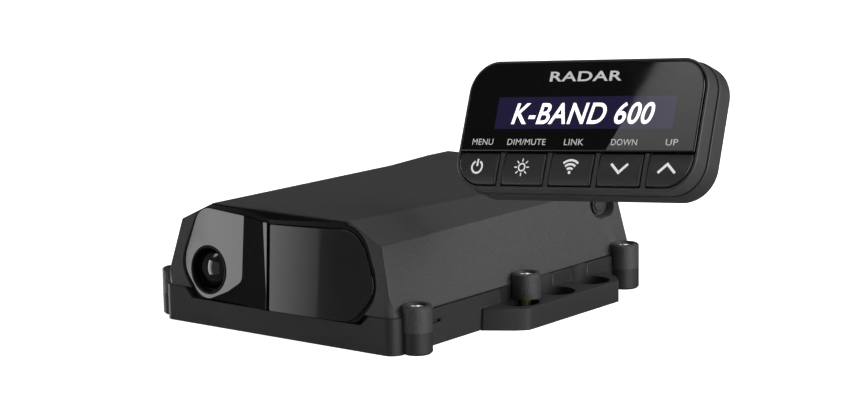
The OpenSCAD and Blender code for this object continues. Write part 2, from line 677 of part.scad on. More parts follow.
module at_switches() for (k = [-2:2])
    translate([k * key_pitch, 0, (key_top + key_bottom) / 2]) children();
module keypad_mat() color([0.3, 0.3, 0.3]) in_display() {
    deep(mat_y + 0.2, mat_y + 0.2 + mat_t) intersection() {
        translate([-60, key_bottom]) square([120, key_top - key_bottom]);
        disp_outline(0.5 + disp_wall + gap);
    }
    at_switches() post_y(2, mat_y, mat_y + 0.2 + eps);
}
module tact_switches() color([0.6, 0.6, 0.62]) in_display() at_switches()
    translate([-2.6, mat_y + mat_t + 0.2, -2.6])
        cube([5.2, dboard_y - mat_y - mat_t - 0.2, 5.2]);
module key_lights() color([0.9, 0.9, 0.8]) in_display() at_switches()
    translate([-0.8, dboard_y - 0.7, 2.8]) cube([1.6, 0.7, 1.4]);
module display_rear_shell() color([0.17, 0.17, 0.175]) in_display() difference() {
    union() {
        difference() {
            union() {
                deep(bezel_d, disp_d - 1.6) disp_outline();
                deep(disp_d - 1.6, disp_d - 0.8) disp_outline(0.3);
                deep(disp_d - 0.8, disp_d) disp_outline(1);
            }
            deep(bezel_d - 1, disp_d - disp_wall) disp_outline(disp_wall + 0.4);
        }
        at_bosses() post_y(boss_r + 0.2, dboard_y + dboard_t, disp_d - disp_wall + eps);
    }
    at_bosses() post_y(1.2, 0, 20);
    at_bosses() post_y(2, disp_d - 1.4, 20);
    // opening for the data socket, in the left side
    translate([-disp_w / 2 - 1, dboard_y + dboard_t - 0.2, socket_z - 4.2]) cube([6, 3, 8.4]);
    // sound holes
    for (a = [0:60:300]) translate([18 + 3 * cos(a), 0, 13 + 3 * sin(a)]) post_y(0.7, 8, 20);
}
module speaker() color([0.2, 0.2, 0.2]) in_display()
    translate([18, 0, 13]) post_y(7, dboard_y + dboard_t, disp_d - disp_wall - 0.3);
module wireless_board() color([0.7, 0.71, 0.72]) in_display()
    translate([-20, dboard_y + dboard_t, -6]) cube([16, 2.2, 11]);
module position_antenna() color([0.86, 0.83, 0.72]) in_display()
    translate([-14, dboard_y + dboard_t, 8]) cube([14, 2.4, 14]);
module display_chips() color([0.08, 0.08, 0.09]) in_display() {
    translate([0, dboard_y + dboard_t, -7]) cube([8, 1.2, 8]);
    translate([12, dboard_y + dboard_t, -6]) cube([5, 1.2, 4]);
}
module display_screws() color([0.3, 0.3, 0.31]) in_display() at_bosses() {
    post_y(0.9, win_t + ledge_t + 0.9, disp_d - 1.3);
    difference() {
        post_y(1.8, disp_d - 1.4, disp_d - 0.3);
        for (a = [0, 90]) rotate([0, a, 0]) translate([-1, disp_d - 1, -0.25]) cube([2, 2, 0.5]);
    }
}
module data_socket() color([0.7, 0.7, 0.7]) in_display()
    translate([-disp_w / 2 + 0.6, dboard_y + dboard_t, socket_z - 3.9]) difference() {
        cube([6, 2.7, 7.8]);
        translate([-1, 0.4, 0.4]) cube([6, 1.9, 7]);
    }
module adhesive_pad() color([0.25, 0.25, 0.25]) in_display()
    deep(disp_d, disp_d + pad_t) translate([0, 8]) plate(2 * pad_half[0], 2 * pad_half[1], 3);

base_shell();
top_cover();
cover_gasket();
window_frame();
laser_panel();
radar_window();
window_seal();
lens_ring();
laser_lens();
lens_barrel();
photodiode();
laser_board();
horn_antenna();
microwave_board();
shield_can();
main_board();
board_chips();
board_capacitors();
board_header();
board_screws();
housing_screws();
threaded_inserts();
cable_gland();
gland_nut();
breather_vent();
display_frame();
display_rear_shell();
display_window();
oled_panel();
oled_flex();
display_board();
power_key();
dimmer_key();
wireless_key();
down_key();
up_key();
keypad_mat();
tact_switches();
key_lights();
speaker();
wireless_board();
position_antenna();
display_chips();
display_screws();
data_socket();
adhesive_pad();
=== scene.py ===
"""Looks for a two-unit radar detector: a sealed antenna module and a small dashboard display."""
import json
import math

import bmesh
import bpy
import numpy as np
from mathutils import Matrix, Vector


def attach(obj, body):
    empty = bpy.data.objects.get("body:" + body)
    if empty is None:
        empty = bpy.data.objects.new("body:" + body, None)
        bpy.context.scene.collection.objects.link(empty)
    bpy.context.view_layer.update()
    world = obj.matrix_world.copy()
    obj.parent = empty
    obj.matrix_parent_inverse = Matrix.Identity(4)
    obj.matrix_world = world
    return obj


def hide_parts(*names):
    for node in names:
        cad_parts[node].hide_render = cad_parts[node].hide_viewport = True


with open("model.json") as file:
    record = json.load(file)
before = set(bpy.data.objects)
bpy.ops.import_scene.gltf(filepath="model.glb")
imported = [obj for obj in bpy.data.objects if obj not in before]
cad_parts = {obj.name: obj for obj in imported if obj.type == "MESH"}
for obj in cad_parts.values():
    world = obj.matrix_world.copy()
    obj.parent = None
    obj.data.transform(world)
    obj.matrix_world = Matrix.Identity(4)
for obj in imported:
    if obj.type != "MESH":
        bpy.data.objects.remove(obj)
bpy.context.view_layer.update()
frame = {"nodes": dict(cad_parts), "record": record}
mm = 0.001
weld = 2e-6                     # metres: points closer than this are merged

# ---------------------------------------------------------------- camera
# A long lens at product height, to the right of the module's front.
camera_place = (0.49333, -0.61454, 0.17536)
camera_azimuth = math.radians(38.2)
camera_elevation = math.radians(10.587)
camera_roll = math.radians(-0.96)
lens = bpy.data.cameras.new("product_lens")
lens.lens = 110.72
lens.sensor_width = 36.0
lens.clip_start = 0.02
camera = bpy.data.objects.new("camera", lens)
bpy.context.scene.collection.objects.link(camera)
camera.matrix_world = (
    Matrix.Translation(camera_place)
    @ Matrix.Rotation(camera_azimuth, 4, "Z")
    @ Matrix.Rotation(math.pi / 2 - camera_elevation, 4, "X")
    @ Matrix.Rotation(camera_roll, 4, "Z")
)
bpy.context.scene.camera = camera

# ---------------------------------------------------------------- studio
# A pale sweep with soft boxes. The room itself is dim, so that gloss faces go dark
# wherever no soft box stands opposite them.
bpy.context.scene.view_settings.view_transform = "Standard"
room = bpy.data.worlds.new("studio_room")
bpy.context.scene.world = room
room.use_nodes = True
tree = room.node_tree
tree.nodes.clear()
backdrop = tree.nodes.new("ShaderNodeBackground")
backdrop.inputs["Color"].default_value = (1, 1, 1, 1)
dim_room = tree.nodes.new("ShaderNodeBackground")
dim_room.inputs["Color"].default_value = (0.06, 0.06, 0.061, 1)
eye = tree.nodes.new("ShaderNodeLightPath")
either = tree.nodes.new("ShaderNodeMixShader")
out = tree.nodes.new("ShaderNodeOutputWorld")
tree.links.new(eye.outputs["Is Camera Ray"], either.inputs[0])
tree.links.new(dim_room.outputs[0], either.inputs[1])
tree.links.new(backdrop.outputs[0], either.inputs[2])
tree.links.new(either.outputs[0], out.inputs[0])


def soft_box(name, place, aim, size, radiance):
    """A rectangular lamp at place that faces aim. Its power in watts is radiance times pi times
    its area."""
    data = bpy.data.lights.new(name, "AREA")
    data.shape = "RECTANGLE"
    data.size, data.size_y = size
    data.energy = radiance * math.pi * size[0] * size[1]
    lamp = bpy.data.objects.new(name, data)
    lamp.location = place
    lamp.rotation_euler = (Vector(aim) - Vector(place)).to_track_quat("-Z", "Y").to_euler()
    bpy.context.scene.collection.objects.link(lamp)


soft_box("top_box", (0.0, 0.1, 1.3), (0.03, 0.0, 0.0), (1.5, 1.5), 1.3)
soft_box("side_box", (1.25, 0.35, 0.55), (0.03, 0.0, 0.03), (0.9, 0.9), 7.4)
soft_box("front_box", (0.75, -1.2, 0.9), (0.03, 0.0, 0.03), (0.7, 0.5), 0.6)


def glow_card(name, corners, near, far, level=1.0):
    """A lit card with four corners. It shades from near at its first corner towards far at the
    second, and stays level from that share of the way on. Only reflections see it."""
    mesh = bpy.data.meshes.new(name)
    mesh.from_pydata([tuple(c) for c in corners], [], [(0, 1, 2, 3)])
    uv = mesh.uv_layers.new(name="card")
    uv.data.foreach_set("uv", np.array([0, 0, 1, 0, 1, 1, 0, 1], np.float32))
    card = bpy.data.objects.new(name, mesh)
    bpy.context.scene.collection.objects.link(card)
    paint = bpy.data.materials.new(name)
    paint.use_nodes = True
    nodes, links = paint.node_tree.nodes, paint.node_tree.links
    nodes.clear()
    place = nodes.new("ShaderNodeUVMap")
    split = nodes.new("ShaderNodeSeparateXYZ")
    ramp = nodes.new("ShaderNodeMapRange")
    ramp.inputs["From Max"].default_value = level
    ramp.inputs["To Min"].default_value = near
    ramp.inputs["To Max"].default_value = far
    glow = nodes.new("ShaderNodeEmission")
    end = nodes.new("ShaderNodeOutputMaterial")
    links.new(place.outputs[0], split.inputs[0])
    links.new(split.outputs["X"], ramp.inputs["Value"])
    links.new(ramp.outputs[0], glow.inputs["Strength"])
    links.new(glow.outputs[0], end.inputs[0])
    mesh.materials.append(paint)
    card.visible_camera = False
    card.visible_diffuse = False
    card.visible_shadow = False


def round_table(first, last, low, high):
    """The four corners of an upright card that stands a metre from the module's front, from
    azimuth first to last in degrees round from straight ahead, and from height low to high."""
    reach, module_front = 1.0, -0.06
    corners = []
    for azimuth, height in ((first, low), (last, low), (last, high), (first, high)):
        a = math.radians(azimuth)
        corners.append((reach * math.sin(a), module_front - reach * math.cos(a), height))
    return corners


# Opposite the module's windows. These cards reach below the floor, because upright faces seen
# from above mirror what lies there.
glow_card("window_card", round_table(-47.5, 5, -0.45, 0.33), 3.4, 0.2, level=0.4)
# Round to the right: it draws the lights along upright edges that turn that way.
glow_card("edge_card", round_table(50, 100, -0.45, 0.4), 3.6, 1.8)
# Far left: a light from the side for the lens.
glow_card("left_card", round_table(-106, -84, -0.42, 0.2), 4.0, 4.0)

floor_half = 4.0
floor_mesh = bpy.data.meshes.new("floor")
floor_mesh.from_pydata(
    [(-floor_half, -floor_half, 0), (floor_half, -floor_half, 0), (floor_half, floor_half, 0),
     (-floor_half, floor_half, 0)], [], [(0, 1, 2, 3)])
floor = bpy.data.objects.new("floor", floor_mesh)
bpy.context.scene.collection.objects.link(floor)
floor_paint = bpy.data.materials.new("pale_floor")
floor_paint.use_nodes = True
floor_shader = floor_paint.node_tree.nodes["Principled BSDF"]
floor_shader.inputs["Base Color"].default_value = (0.93, 0.93, 0.93, 1)
floor_shader.inputs["Roughness"].default_value = 0.9
# To the eye the floor is nearly as bright as the backdrop, so only a faint shadow shows.
floor_shader.inputs["Emission Color"].default_value = (1, 1, 1, 1)
floor_eye = floor_paint.node_tree.nodes.new("ShaderNodeLightPath")
floor_lift = floor_paint.node_tree.nodes.new("ShaderNodeMath")
floor_lift.operation = "MULTIPLY_ADD"
floor_lift.inputs[1].default_value = 0.5
floor_lift.inputs[2].default_value = 0.45
floor_paint.node_tree.links.new(floor_eye.outputs["Is Camera Ray"], floor_lift.inputs[0])
floor_paint.node_tree.links.new(floor_lift.outputs[0], floor_shader.inputs["Emission Strength"])
floor_mesh.materials.append(floor_paint)
floor.visible_glossy = False

# ---------------------------------------------------------------- base of the module
# The tray of glass-filled nylon that everything sits in. It is moulded in one piece with its
# two tabs, their wells and the feet of the end lugs, and has a fine spark-eroded grain.
grain_group = bpy.data.node_groups.new("moulded_grain", "ShaderNodeTree")
for socket, way, kind in (
        ("Size", "INPUT", "Float"), ("Roughness", "INPUT", "Float"), ("Color", "INPUT", "Color"),
        ("Color", "OUTPUT", "Color"), ("Roughness", "OUTPUT", "Float"),
        ("Height", "OUTPUT", "Float")):
    grain_group.interface.new_socket(socket, in_out=way, socket_type="NodeSocket" + kind)
gn, gl = grain_group.nodes, grain_group.links
g_in, g_out = gn.new("NodeGroupInput"), gn.new("NodeGroupOutput")
place = gn.new("ShaderNodeTexCoord")
pits = gn.new("ShaderNodeTexNoise")
pits.inputs["Detail"].default_value = 3
pits.inputs["Roughness"].default_value = 0.6
cloud = gn.new("ShaderNodeTexNoise")
cloud.inputs["Scale"].default_value = 45
cloud.inputs["Detail"].default_value = 4
tone, wipe = gn.new("ShaderNodeMapRange"), gn.new("ShaderNodeMapRange")
for spread, low, high in ((tone, 0.88, 1.12), (wipe, -0.045, 0.045)):
    spread.inputs["From Min"].default_value = 0.3
    spread.inputs["From Max"].default_value = 0.7
    spread.inputs["To Min"].default_value = low
    spread.inputs["To Max"].default_value = high
tint = gn.new("ShaderNodeVectorMath")
tint.operation = "SCALE"
blotch = gn.new("ShaderNodeMath")
blotch.operation = "ADD"
gl.new(place.outputs["Object"], pits.inputs["Vector"])
gl.new(place.outputs["Object"], cloud.inputs["Vector"])
gl.new(g_in.outputs["Size"], pits.inputs["Scale"])
gl.new(pits.outputs["Fac"], tone.inputs["Value"])
gl.new(cloud.outputs["Fac"], wipe.inputs["Value"])
gl.new(g_in.outputs["Color"], tint.inputs[0])
gl.new(tone.outputs[0], tint.inputs["Scale"])
gl.new(g_in.outputs["Roughness"], blotch.inputs[0])
gl.new(wipe.outputs[0], blotch.inputs[1])
gl.new(tint.outputs["Vector"], g_out.inputs["Color"])
gl.new(blotch.outputs[0], g_out.inputs["Roughness"])
gl.new(pits.outputs["Fac"], g_out.inputs["Height"])


def moulded(name, color, roughness, size=3000, depth=0.02, metal=0.0, ior=1.5, coat=0.0):
    """A material whose colour, roughness and relief come from the grain group.
    depth is the relief in millimetres."""
    paint = bpy.data.materials.new(name)
    paint.use_nodes = True
    nodes, links = paint.node_tree.nodes, paint.node_tree.links
    shader = nodes["Principled BSDF"]
    grain = nodes.new("ShaderNodeGroup")
    grain.node_tree = grain_group
    grain.inputs["Size"].default_value = size
    grain.inputs["Roughness"].default_value = roughness
    grain.inputs["Color"].default_value = (*color, 1)
    relief = nodes.new("ShaderNodeBump")
    relief.inputs["Distance"].default_value = depth * mm
    relief.inputs["Strength"].default_value = 0.6
    links.new(grain.outputs["Color"], shader.inputs["Base Color"])
    links.new(grain.outputs["Roughness"], shader.inputs["Roughness"])
    links.new(grain.outputs["Height"], relief.inputs["Height"])
    links.new(relief.outputs["Normal"], shader.inputs["Normal"])
    shader.inputs["Metallic"].default_value = metal
    shader.inputs["IOR"].default_value = ior
    shader.inputs["Coat Weight"].default_value = coat
    return paint


def record_slot(node):
    """The record's material slot of a CAD node."""
    return next(p["material_slot"] for p in frame["record"]["subparts"] if p["node"] == node)


def dressed(node, name, paint, body, edge, crease=20.0, shortest=0.0, share=lambda a, b: 1.0):
    """A merged copy of a CAD node with its edges broken by a narrow round of edge millimetres.
    Edges turned more than crease degrees are rounded, unless they are under shortest millimetres
    long. share gives the part of that round which the edge from a to b gets. Broad flat faces
    keep their exact shading."""
    coplanar, noticed = math.radians(0.4), math.radians(1.2)
    broad = 60e-6               # square metres
    mesh = frame["nodes"][node].data.copy()
    mesh.name = name
    work = bmesh.new()
    work.from_mesh(mesh)
    bmesh.ops.remove_doubles(work, verts=work.verts, dist=weld)
    bmesh.ops.dissolve_limit(work, angle_limit=coplanar, verts=work.verts, edges=work.edges)
    rounding = work.edges.layers.float.new("bevel_weight_edge")
    for f in work.faces:
        f.smooth = True
    for e in work.edges:
        if len(e.link_faces) != 2:
            continue
        turn = e.calc_face_angle(0.0)
        flat = min(f.calc_area() for f in e.link_faces) > broad
        e.smooth = not (turn > math.radians(crease) or (flat and turn > noticed))
        cut = turn > math.radians(crease) and e.calc_length() > shortest * mm
        e[rounding] = cut * share(e.verts[0].co / mm, e.verts[1].co / mm)
    work.to_mesh(mesh)
    work.free()
    mesh.materials.clear()
    mesh.materials.append(paint)
    copy = bpy.data.objects.new(name, mesh)
    bpy.context.scene.collection.objects.link(copy)
    if edge:
        bevel = copy.modifiers.new("broken_edges", "BEVEL")
        bevel.width = edge * mm
        bevel.segments = 2
        bevel.limit_method = "WEIGHT"
        bevel.use_clamp_overlap = False
        bevel.harden_normals = True
    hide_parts(node)
    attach(copy, body)


# The tray's colour is painted darker than the cover's, which is the same nylon: painted shade on
# its low upright walls.
base_plastic = moulded("base_plastic", (0.018, 0.018, 0.019), 0.5, 3200, 0.02, ior=1.38)


def tab_corners(a, b):
    """The tabs' upright outer corners get the whole round; every other edge gets a fifth of it."""
    beyond_walls, upright = 50, 4
    outer = abs(a.x) > beyond_walls and abs(b.x) > beyond_walls
    return 1.0 if outer and abs(a.z - b.z) > upright else 0.2


dressed("base_shell", "base", base_plastic, "module", 1.2, shortest=3.0, share=tab_corners)

# ---------------------------------------------------------------- cover of the module
# The same nylon with a coarser grain on its roof, chamfers and leaning walls. It drops over the
# tray's rim and carries the bosses that the screws go through.
cover_plastic = moulded("cover_plastic", (0.034, 0.034, 0.035), 0.48, 1900, 0.3, ior=1.45)
dressed("top_cover", "cover", cover_plastic, "module", 0.3, shortest=3.0)

# ---------------------------------------------------------------- window frame
# The gloss black brow over the windows, moulded with the rim that holds them.
piano_black = moulded("piano_black", (0.004, 0.004, 0.0045), 0.25, 900, 0.002, ior=1.2)
dressed("window_frame", "brow", piano_black, "module", 0.12)

# ---------------------------------------------------------------- laser panel
# The left half of the front: one polished black moulding. A broad facet holds the lens bore, an
# upright crease turns it forward to the prow, and a slim cut runs down beside the other window.
panel_black = moulded("panel_black", (0.0055, 0.0055, 0.006), 0.05, 500, 0.0, ior=1.6)
sill = 8.0                      # foot of both windows
lean = math.tan(math.radians(5))
lens_x, lens_z = -26.5, 16.6
facet_from, facet_y = -40, -59.2
facet_turn, facet_width = 0.8, 27       # the facet comes forward by facet_turn over its width


def rim(corners, radii, inset=0.0, arc=10, run=8):
    """Points round a convex outline, anticlockwise: each corner becomes an arc of its radius, and
    each side gets run evenly spaced points. inset moves every side inwards by that much, so a
    corner's centre stays put while its radius shrinks."""
    c = np.asarray(corners, float)
    r = np.asarray(radii, float)
    ahead = np.roll(c, -1, 0) - c
    ahead /= np.linalg.norm(ahead, axis=1, keepdims=True)
    inward = np.stack([-ahead[:, 1], ahead[:, 0]], -1)
    before = np.roll(inward, 1, 0)
    bisector = before + inward
    bisector /= np.linalg.norm(bisector, axis=1, keepdims=True)
    reach = (bisector * inward).sum(1)[:, None]
    shrunk = np.maximum(r - inset, 0.02)
    centre = c + bisector * ((shrunk + inset)[:, None] / reach)
    start = np.arctan2(-before[:, 1], -before[:, 0])
    turn = (np.arctan2(-inward[:, 1], -inward[:, 0]) - start) % (2 * np.pi)
    a = start[:, None] + turn[:, None] * np.linspace(0, 1, arc)
    bend = centre[:, None] + shrunk[:, None, None] * np.stack([np.cos(a), np.sin(a)], -1)
    t = np.linspace(0, 1, run + 2)[1:-1][None, :, None]
    side = bend[:, -1:] * (1 - t) + np.roll(bend, -1, 0)[:, :1] * t
    return np.concatenate([bend, side], 1).reshape(-1, 2)


def skin(name, rings, paint, body, nodes=(), sheets=(), sharp=35.0, edge=0.0, wall=0.0,
         facing=None):
    """A mesh of grids of points (rows, columns, xyz) in millimetres. In rings each row's last point
    joins its first; sheets are left open. Rows that shrink to one point become a pole, and grids
    that meet are merged. An open skin has its front towards facing and gets a wall behind it.
    Edges turned more than sharp degrees stay crisp, or are rounded by edge millimetres."""
    points, faces, first = [], [], 0
    for grid, ring in [(g, True) for g in rings] + [(g, False) for g in sheets]:
        k = first + np.arange(grid.shape[0] * grid.shape[1]).reshape(grid.shape[:2])
        ahead, here = (np.roll(k, -1, 1), k) if ring else (k[:, 1:], k[:, :-1])
        faces.append(np.stack([here[:-1], ahead[:-1], ahead[1:], here[1:]], -1).reshape(-1, 4))
        points.append(grid.reshape(-1, 3))
        first += grid.shape[0] * grid.shape[1]
    mesh = bpy.data.meshes.new(name)
    mesh.from_pydata((np.concatenate(points) * mm).tolist(), [], np.concatenate(faces).tolist())
    work = bmesh.new()
    work.from_mesh(mesh)
    bmesh.ops.remove_doubles(work, verts=work.verts, dist=weld)
    bmesh.ops.recalc_face_normals(work, faces=work.faces)
    if facing is not None:
        if sum(f.normal.dot(Vector(facing)) * f.calc_area() for f in work.faces) < 0:
            bmesh.ops.reverse_faces(work, faces=work.faces)
    for f in work.faces:
        f.smooth = True
    for e in work.edges:
        e.smooth = len(e.link_faces) == 2 and e.calc_face_angle(0.0) < math.radians(sharp)
    work.to_mesh(mesh)
    work.free()
    mesh.materials.append(paint)
    piece = bpy.data.objects.new(name, mesh)
    bpy.context.scene.collection.objects.link(piece)
    if wall:
        thick = piece.modifiers.new("wall", "SOLIDIFY")
        thick.thickness = wall * mm
        thick.offset = -1
    if edge:
        bevel = piece.modifiers.new("broken_edges", "BEVEL")
        bevel.width = edge * mm
        bevel.segments = 2
        bevel.limit_method = "ANGLE"
        bevel.angle_limit = math.radians(40)
        bevel.harden_normals = True
    if nodes:
        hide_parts(*nodes)
    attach(piece, body)


def face_a(x, z):
    """How far forward the lens facet lies: nearly square to the front, leaning back with height."""
    return facet_y - facet_turn * (x - facet_from) / facet_width + (z - sill) * lean


panel_top, panel_arc, panel_run = 33.9, 10, 8
panel_rim = rim(
    [(-13, panel_top), (-30.9, 34.9), (-37.1, 17.2), (-29.2, sill), (-25.4, 8.3), (-18.5, 11.2),
     (-13, 14.8)],
    [0.02, 5.5, 8, 6.5, 0.5, 6, 3], arc=panel_arc, run=panel_run)
bore = 7.25
round_lens = np.arctan2(panel_rim[:, 1] - lens_z, panel_rim[:, 0] - lens_x)
bore_rim = np.stack([lens_x + bore * np.cos(round_lens), lens_z + bore * np.sin(round_lens)], -1)
out = np.linspace(0, 1, 10)[:, None, None]
facet = bore_rim * (1 - out) + panel_rim * out
lens_facet = np.stack([facet[..., 0], face_a(facet[..., 0], facet[..., 1]), facet[..., 1]], -1)
# From the crease to the prow: straight lines from each point of the crease to the cut. The crease
# starts at the outline's fifth corner and closes on its first point.
crease = np.concatenate([panel_rim[4 * (panel_arc + panel_run):], panel_rim[:1]])
cut_top, cut_end, cut_width, prow_y = 33.3, 12.0, 1.5, -61.88
cut_foot_x, cut_drift, cut_slope, least_taper = -1.8, 0.6, 0.035, 0.03
rise = sill + (crease[:, 1] - sill) * (cut_top - sill) / (panel_top - sill)
taper = np.clip((rise - cut_end) / (cut_top - cut_end), least_taper, 1)
cut_run = cut_width * taper
cut_x = cut_foot_x - cut_drift * taper - cut_run
crease_3d = np.stack([crease[:, 0], face_a(crease[:, 0], crease[:, 1]), crease[:, 1]], -1)
prow = np.stack([cut_x, prow_y + (rise - sill) * lean, rise], -1)
cut = np.stack([cut_x + cut_run, prow_y - cut_slope * cut_run + (rise - sill) * lean, rise], -1)
across = np.linspace(0, 1, 7)[:, None, None]
prow_facet = crease_3d * (1 - across) + prow * across
# Past the cut's slim face the panel steps back and runs on under the other window's edge: a dark
# groove.
groove_depth, groove_end = 1.2, -0.9
step_foot = cut + np.array([0, groove_depth, 0])
groove_far = np.stack([np.full_like(rise, groove_end), step_foot[:, 1], rise], -1)
skin(
    "laser_panel", [lens_facet], panel_black, "module", ["laser_panel"],
    sheets=[prow_facet, np.stack([prow, cut]), np.stack([cut, step_foot, groove_far])],
    sharp=3, wall=0.6, facing=(0, -1, 0))

# ---------------------------------------------------------------- radar window
# The right half: a tinted polished moulding that lets microwaves through. It bows back from the
# prow, first along a shallow parabola and then straight, with a faint break where the two meet.
window_black = moulded("window_black", (0.007, 0.007, 0.0075), 0.05, 500, 0.0, ior=1.5)
break_x, bow, end_slope = 17.0, 0.0021, 0.1


def window_front(x, z):
    """Back from the prow by bow times x squared up to the break, then along a straight run a
    little steeper than the parabola's end."""
    inner = prow_y + bow * np.minimum(x, break_x) ** 2
    return inner + end_slope * np.maximum(x - break_x, 0) + (z - sill) * lean


def bowed(outline, front):
    """Gives each point x, z of an outline the depth of a front surface."""
    x, z = outline[..., 0], outline[..., 1]
    return np.stack([x, front(x, z), z], -1)


window_corners = [(30.1, 34.25), (-1.4, 33.1), (-0.7, sill), (29, sill - 0.05), (36.8, 17.2)]
window_rim = rim(window_corners, [9, 0.5, 0.5, 8, 8], arc=12, run=24)
middle = np.array([[15.0, 21.0]])
shrink = np.linspace(1, 0, 26)[:, None, None]
window_face = bowed(middle + (window_rim - middle) * shrink, window_front)
skin(
    "radar_window", [window_face], window_black, "module", ["radar_window"],
    sharp=30, wall=1.7, edge=0.3, facing=(0, -1, 0))

# ---------------------------------------------------------------- laser receiver's lens
# A domed filter glass deep in a ribbed black barrel, behind a thin satin ring that lines the
# panel's bore.
turn = np.linspace(0, 2 * np.pi, 96, endpoint=False)


def turned(profile, centre=(lens_x, lens_z), relief=0.0):
    """A shape turned about an axis along Y through centre (x, z). Each profile point is
    (radius, y), and relief is taken off the radius."""
    r, y = np.asarray(profile, float).T[:, :, None]
    r = r - relief
    return np.stack([
        centre[0] + r * np.cos(turn), np.repeat(y, turn.size, 1), centre[1] + r * np.sin(turn)], -1)


ring_satin = moulded("ring_satin", (0.003, 0.003, 0.003), 0.35, 1500, 0.004, ior=1.3)
bead = np.linspace(0, np.pi, 7)
ring_r = np.concatenate([[7.15], 6.8 - 0.35 * np.cos(bead + np.pi), [6.45, 6.45, 7.15]])
ring_lift = np.concatenate([[1.6], -0.02 - 0.23 * np.sin(bead), [0.4, 1.6, 1.6]])
ring_x = lens_x + ring_r[:, None] * np.cos(turn)
ring_z = lens_z + ring_r[:, None] * np.sin(turn)
skin(
    "lens_ring", [np.stack([ring_x, face_a(ring_x, ring_z) + ring_lift[:, None], ring_z], -1)],
    ring_satin, "module", ["lens_ring"])

barrel_black = moulded("barrel_black", (0.009, 0.009, 0.009), 0.5, 1500, 0.006)
ribs, rib_pitch, rib_width, rib_height = 9, 0.33, 0.16, 0.12
bore_r, bore_mouth = 6.3, -54.15
rib_r = np.repeat(bore_r, 2 * ribs) - np.tile([0.0, rib_height], ribs)
rib_y = np.repeat(bore_mouth + np.arange(ribs) * rib_pitch, 2) + np.tile([0.0, rib_width], ribs)
skin(
    "lens_barrel", [turned(
        [(7.65, -54.2), (6.35, -54.2), *zip(rib_r, rib_y), (6.0, -51.2), (5.05, -51.2),
         (5.05, -37.4), (5.25, -37.2), (7.5, -37.2), (7.7, -37.4), (7.7, -54.1), (7.65, -54.2)])],
    barrel_black, "module", ["lens_barrel"])

lens_glass = moulded("lens_glass", (0.004, 0.0035, 0.005), 0.03, 400, 0.0, ior=1.75, coat=1.0)
dome_r, dome_top, dome_edge = 8.2, -58.78, 5.78
polar = np.linspace(0, math.asin(dome_edge / dome_r), 22)
dome = np.stack([dome_r * np.sin(polar), dome_top + dome_r * (1 - np.cos(polar))], -1)
skin(
    "laser_lens", [turned([
        *dome, (5.8, -54.2), (6.2, -54.15), (6.2, -51.5), (6.1, -51.4), (0, -51.4)])],
    lens_glass, "module", ["laser_lens"])

# ---------------------------------------------------------------- housing screws
# Six bright zinc-plated M3 pan heads with cross recesses, sunk a little into the lugs.
bright_zinc = moulded("bright_zinc", (0.92, 0.92, 0.91), 0.42, 1800, 0.01, metal=0.6)
head_r, head_top, head_foot, head_side, head_fall = 2.75, 13.5, 11.42, 0.65, 0.45
shaft_r, shaft_foot, shaft_tip = 1.45, 2.8, (1.25, 2.62)
bar_half, recess_depth, recess_reach = 1.45, 1.0, 1.9


def screw(x0, y0):
    """A pan head over a shaft. The crown falls as the radius to the power 2.6; the recess is sunk
    where either of two crossed bars is near, with sloping walls."""
    r = np.linspace(0, head_r - 0.12, 22)[:, None]
    x, y = r * np.cos(turn), r * np.sin(turn)
    bar = np.minimum(np.hypot(np.maximum(abs(x) - bar_half, 0), y),
                     np.hypot(np.maximum(abs(y) - bar_half, 0), x))
    walls = np.clip((0.55 - bar) / 0.3, 0, 1) * np.clip((recess_reach - r) / 0.5, 0, 1)
    height = head_top - head_fall * (r / head_r) ** 2.6 - recess_depth * walls
    crown = np.stack([x0 + x, y0 + y, height], -1)
    low = np.array([
        (head_r, head_top - head_side), (head_r, head_foot), (shaft_r, head_foot),
        (shaft_r, shaft_foot), shaft_tip, (0, shaft_tip[1])])
    side = np.stack([
        x0 + low[:, :1] * np.cos(turn), y0 + low[:, :1] * np.sin(turn),
        np.repeat(low[:, 1:], turn.size, 1)], -1)
    return np.concatenate([crown, side])


lug_places = [(sx * 45.9, sy * 52.0) for sx in (-1, 1) for sy in (-1, 0, 1)]
skin(
    "housing_screws", [screw(*xy) for xy in lug_places], bright_zinc, "module", ["housing_screws"])

# ---------------------------------------------------------------- cable gland
# A black nylon gland in the rear wall, with a fluted flange to turn it by, a tapered nose and
# a lipped hole for a thin round cable.
gland_nylon = moulded("gland_nylon", (0.013, 0.013, 0.013), 0.38, 2200, 0.01)
gland_at = (-18, 19.5)
gland_profile = np.array([
    (2.5, 48.6), (4.9, 48.6), (5.0, 48.8), (5.0, 58.6), (6.9, 58.6), (6.9, 61.0), (6.7, 61.2),
    (6.4, 61.2), (6.1, 61.6), (4.5, 63.9), (4.2, 64.18), (2.9, 64.18), (2.5, 63.8), (2.5, 48.6)])
flute = 0.22 * (0.5 - 0.5 * np.cos(18 * turn)) ** 2
fluted = ((gland_profile[:, 0] > 6.5) & (gland_profile[:, 1] > 58))[:, None]
skin(
    "cable_gland", [turned(gland_profile, gland_at, np.where(fluted, flute, 0.0))],
    gland_nylon, "module", ["cable_gland"])

# ---------------------------------------------------------------- breather vent
# A small cap in the side pocket over a membrane, with slots round its edge that let air out.
vent_plastic = moulded("vent_plastic", (0.03, 0.03, 0.031), 0.45, 2400, 0.012)
vent_r = np.array([0, 1.0, 1.9, 2.3, 2.42, 3.0, 3.0, 0])[:, None]
vent_x = np.array([38.58, 38.6, 38.6, 38.52, 38.1, 38.0, 37.0, 37.0])[:, None]
slots = 0.3 * (np.cos(8 * turn) > 0.55) * (vent_r > 2.2) * (vent_x > 38.05)
vent_y, vent_z = 49.25, 26
skin(
    "breather_vent", [np.stack([
        vent_x - slots, vent_y + vent_r * np.cos(turn), vent_z + vent_r * np.sin(turn)], -1)],
    vent_plastic, "module", ["breather_vent"], sharp=25)

